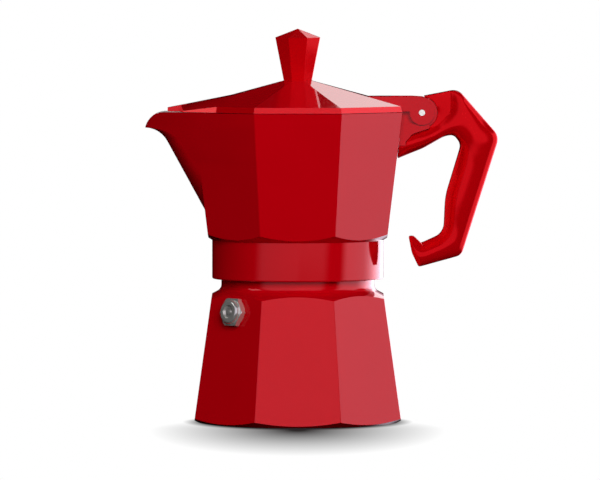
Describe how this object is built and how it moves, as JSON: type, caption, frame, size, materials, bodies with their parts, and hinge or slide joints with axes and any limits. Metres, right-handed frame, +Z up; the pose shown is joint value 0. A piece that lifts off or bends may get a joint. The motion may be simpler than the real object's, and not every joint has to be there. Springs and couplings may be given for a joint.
{
  "type": "moka pot",
  "caption": "Octagonal stove-top moka pot: boiler with safety valve, screwed-on jug with spout and handle, hinged lid with knob, coffee funnel and filter inside.",
  "frame": {"origin": "centre of the boiler's underside, on the table", "axes": "+Z up along the pot's axis, +X towards the handle and lid hinge, -X along the spout, -Y the side seen in the picture"},
  "size_m": [0.1433, 0.0848, 0.16],
  "materials": {
    "red_aluminium": "red anodised gloss",
    "bare_aluminium": "satin",
    "nickel": "nickel plated, polished",
    "steel": "zinc plated",
    "brass": "turned",
    "silicone": "matte",
    "red_plastic": "gloss"
  },
  "bodies": {
    "base": {"boiler": "red_aluminium", "valve_body": "nickel", "valve_washer": "nickel", "valve_cap": "nickel", "valve_spring": "steel"},
    "plunger": {"valve_plunger": "nickel", "valve_seal": "silicone"},
    "funnel_set": {"funnel": "bare_aluminium", "funnel_strainer": "bare_aluminium"},
    "seal_set": {"gasket": "silicone", "filter_plate": "bare_aluminium"},
    "jug": {"upper_chamber": "red_aluminium", "column": "bare_aluminium", "handle": "red_plastic", "handle_screw": "steel", "hinge_pin": "steel"},
    "lid_set": {"lid": "red_aluminium", "knob": "red_plastic", "knob_insert": "brass", "knob_screw": "steel", "knob_washer": "steel"}
  },
  "joints": [
    {"name": "valve_lift", "type": "slide", "parent": "base", "child": "plunger", "axis": [-0.7004, -0.7004, 0.1377], "range_m": [0, 0.0015], "stiffness_N_per_m": 1500, "springref_m": -0.002, "deforming": ["valve_spring"]},
    {"name": "funnel_turn", "type": "hinge", "parent": "base", "child": "funnel_set", "pos_m": [0, 0, 0.0695], "axis": [0, 0, 1], "continuous": true},
    {"name": "unscrew_lift", "type": "slide", "parent": "base", "child": "seal_set", "axis": [0, 0, 1], "range_m": [0, 0.0061]},
    {"name": "unscrew_turn", "type": "hinge", "parent": "seal_set", "child": "jug", "pos_m": [0, 0, 0.07], "axis": [0, 0, 1], "range_deg": [0, 540]},
    {"name": "lid_hinge", "type": "hinge", "parent": "jug", "child": "lid_set", "pos_m": [0.0504, 0, 0.126], "axis": [0, 1, 0], "range_deg": [0, 100]}
  ],
  "couplings": [
    {"joint": "unscrew_lift", "follows": "unscrew_turn", "m_per_rad": 0.00063662}
  ]
}
